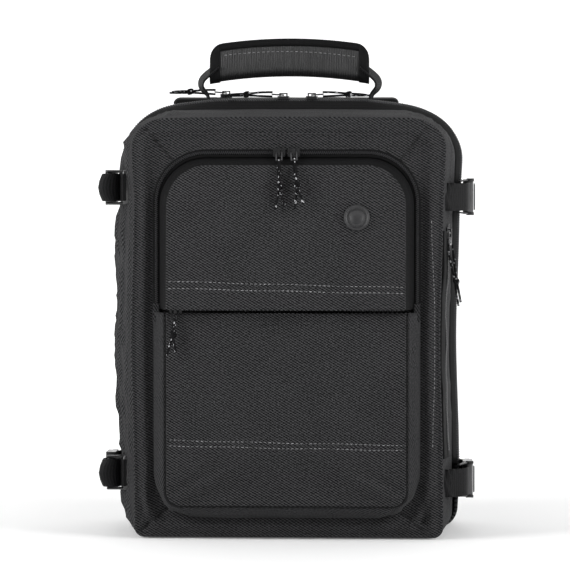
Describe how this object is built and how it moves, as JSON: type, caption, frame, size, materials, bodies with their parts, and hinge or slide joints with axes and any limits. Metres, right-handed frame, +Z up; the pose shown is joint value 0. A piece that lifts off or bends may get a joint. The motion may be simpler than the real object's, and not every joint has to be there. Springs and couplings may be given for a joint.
{
  "type": "travel backpack",
  "caption": "Cabin travel backpack that opens like a case, with front pockets, top grab handle, shoulder straps and side compression straps.",
  "frame": {"origin": "on the flat base, under the middle of the bag's width, just behind the main zip", "axes": "+X to the right seen from the front, +Y to the back, +Z up; the front faces -Y"},
  "size_m": [0.336, 0.2137, 0.453],
  "materials": {
    "shell_fabric": "matte woven",
    "trim_fabric": "matte woven",
    "lining": "plain lining cloth",
    "webbing": "ribbed webbing",
    "zip_tape": "zip tape and coil",
    "air_mesh": "spacer mesh over foam",
    "sheet_plastic": "matte",
    "buckle_plastic": "semi gloss",
    "badge_rubber": "matte",
    "slider_metal": "satin black",
    "tab_metal": "satin",
    "pull_cord": "braided with reflective threads"
  },
  "bodies": {
    "pack": {"rear_shell": "shell_fabric", "laptop_divider": "lining", "frame_sheet": "sheet_plastic", "main_zip_rear": "zip_tape", "laptop_zip": "trim_fabric", "back_pad_left": "air_mesh", "back_pad_right": "air_mesh", "lumbar_pad": "air_mesh", "strap_yoke": "trim_fabric", "webbing_lower_left": "webbing", "webbing_lower_right": "webbing", "compression_webbing_rear": "webbing"},
    "front_half": {"front_shell": "shell_fabric", "main_zip_front": "zip_tape", "pocket_gusset": "shell_fabric", "slip_backing": "lining", "slip_panel": "shell_fabric", "slip_zip": "zip_tape", "front_zip_chain": "zip_tape", "side_welt": "shell_fabric", "side_zip": "zip_tape", "compression_webbing_front": "webbing", "strap_frames": "buckle_plastic", "buckle_housings": "buckle_plastic"},
    "flap": {"front_flap": "shell_fabric", "flap_zip_tape": "zip_tape", "badge": "badge_rubber"},
    "handle": {"handle_grip": "shell_fabric", "handle_binding": "trim_fabric", "handle_webbing": "webbing"},
    "strap_left": {"shoulder_pad_left": "air_mesh", "ladder_lock_left": "buckle_plastic"},
    "strap_right": {"shoulder_pad_right": "air_mesh", "ladder_lock_right": "buckle_plastic"},
    "male_left_upper": {"buckle_left_upper": "buckle_plastic"},
    "male_left_lower": {"buckle_left_lower": "buckle_plastic"},
    "male_right_upper": {"buckle_right_upper": "buckle_plastic"},
    "male_right_lower": {"buckle_right_lower": "buckle_plastic"},
    "slider_main_left": {"slider_main_left": "slider_metal"},
    "pull_main_left": {"tab_main_left": "tab_metal", "cord_main_left": "pull_cord"},
    "slider_main_right": {"slider_main_right": "slider_metal"},
    "pull_main_right": {"tab_main_right": "tab_metal", "cord_main_right": "pull_cord"},
    "slider_laptop": {"slider_laptop": "slider_metal"},
    "pull_laptop": {"tab_laptop": "tab_metal", "cord_laptop": "pull_cord"},
    "slider_front_left": {"slider_front_left": "slider_metal"},
    "pull_front_left": {"tab_front_left": "tab_metal", "cord_front_left": "pull_cord"},
    "slider_front_right": {"slider_front_right": "slider_metal"},
    "pull_front_right": {"tab_front_right": "tab_metal", "cord_front_right": "pull_cord"},
    "slider_slip": {"slider_slip": "slider_metal"},
    "pull_slip": {"tab_slip": "tab_metal", "cord_slip": "pull_cord"},
    "slider_side": {"slider_side": "slider_metal"},
    "pull_side": {"tab_side": "tab_metal", "cord_side": "pull_cord"}
  },
  "joints": [
    {"name": "clamshell_hinge", "type": "hinge", "parent": "pack", "child": "front_half", "pos_m": [0, -0.004, 0], "axis": [1, 0, 0], "range_deg": [0, 175]},
    {"name": "flap_hinge", "type": "hinge", "parent": "front_half", "child": "flap", "pos_m": [0, -0.1116, 0.206], "axis": [1, 0, 0], "range_deg": [0, 150]},
    {"name": "handle_hinge", "type": "hinge", "parent": "pack", "child": "handle", "pos_m": [0, 0.025, 0.396], "axis": [1, 0, 0], "range_deg": [-35, 35]},
    {"name": "strap_left_hinge", "type": "hinge", "parent": "pack", "child": "strap_left", "pos_m": [-0.05, 0.0865, 0.352], "axis": [1, 0, 0], "range_deg": [0, 40]},
    {"name": "strap_right_hinge", "type": "hinge", "parent": "pack", "child": "strap_right", "pos_m": [0.05, 0.0865, 0.352], "axis": [1, 0, 0], "range_deg": [0, 40]},
    {"name": "buckle_left_upper_slide", "type": "slide", "parent": "pack", "child": "male_left_upper", "axis": [0, 1, 0], "range_m": [0, 0.02]},
    {"name": "buckle_left_lower_slide", "type": "slide", "parent": "pack", "child": "male_left_lower", "axis": [0, 1, 0], "range_m": [0, 0.02]},
    {"name": "buckle_right_upper_slide", "type": "slide", "parent": "pack", "child": "male_right_upper", "axis": [0, 1, 0], "range_m": [0, 0.02]},
    {"name": "buckle_right_lower_slide", "type": "slide", "parent": "pack", "child": "male_right_lower", "axis": [0, 1, 0], "range_m": [0, 0.02]},
    {"name": "slider_main_left_slide", "type": "slide", "parent": "pack", "child": "slider_main_left", "axis": [-1, 0, 0], "range_m": [0, 0.08]},
    {"name": "slider_main_right_slide", "type": "slide", "parent": "pack", "child": "slider_main_right", "axis": [1, 0, 0], "range_m": [0, 0.066]},
    {"name": "slider_laptop_slide", "type": "slide", "parent": "pack", "child": "slider_laptop", "axis": [1, 0, 0], "range_m": [0, 0.16]},
    {"name": "slider_front_left_slide", "type": "slide", "parent": "front_half", "child": "slider_front_left", "axis": [-1, 0, 0], "range_m": [0, 0.06]},
    {"name": "slider_front_right_slide", "type": "slide", "parent": "front_half", "child": "slider_front_right", "axis": [1, 0, 0], "range_m": [0, 0.06]},
    {"name": "slider_slip_slide", "type": "slide", "parent": "front_half", "child": "slider_slip", "axis": [1, 0, 0], "range_m": [0, 0.19]},
    {"name": "slider_side_slide", "type": "slide", "parent": "front_half", "child": "slider_side", "axis": [0, 0, -1], "range_m": [0, 0.14]},
    {"name": "pull_main_left_hinge", "type": "hinge", "parent": "slider_main_left", "child": "pull_main_left", "pos_m": [-0.006, -0.0038, 0.3999], "axis": [0, 1, 0], "range_deg": [0, 90]},
    {"name": "pull_main_right_hinge", "type": "hinge", "parent": "slider_main_right", "child": "pull_main_right", "pos_m": [0.02, -0.0038, 0.3999], "axis": [0, -1, 0], "range_deg": [0, 90]},
    {"name": "pull_laptop_hinge", "type": "hinge", "parent": "slider_laptop", "child": "pull_laptop", "pos_m": [-0.062, 0.05, 0.4037], "axis": [0.03, 0.9996, 0], "range_deg": [0, 90]},
    {"name": "pull_front_left_hinge", "type": "hinge", "parent": "slider_front_left", "child": "pull_front_left", "pos_m": [-0.0065, -0.0886, 0.3459], "axis": [-0.9996, 0, -0.03], "range_deg": [0, 60]},
    {"name": "pull_front_right_hinge", "type": "hinge", "parent": "slider_front_right", "child": "pull_front_right", "pos_m": [0.0065, -0.0886, 0.3459], "axis": [-0.9929, 0, -0.1191], "range_deg": [0, 60]},
    {"name": "pull_slip_hinge", "type": "hinge", "parent": "slider_slip", "child": "pull_slip", "pos_m": [-0.098, -0.1045, 0.207], "axis": [-0.9968, 0, 0.0797], "range_deg": [0, 15]},
    {"name": "pull_side_hinge", "type": "hinge", "parent": "slider_side", "child": "pull_side", "pos_m": [0.14573, -0.06294, 0.274], "axis": [-0.2352, -0.972, 0], "range_deg": [0, 85]}
  ]
}
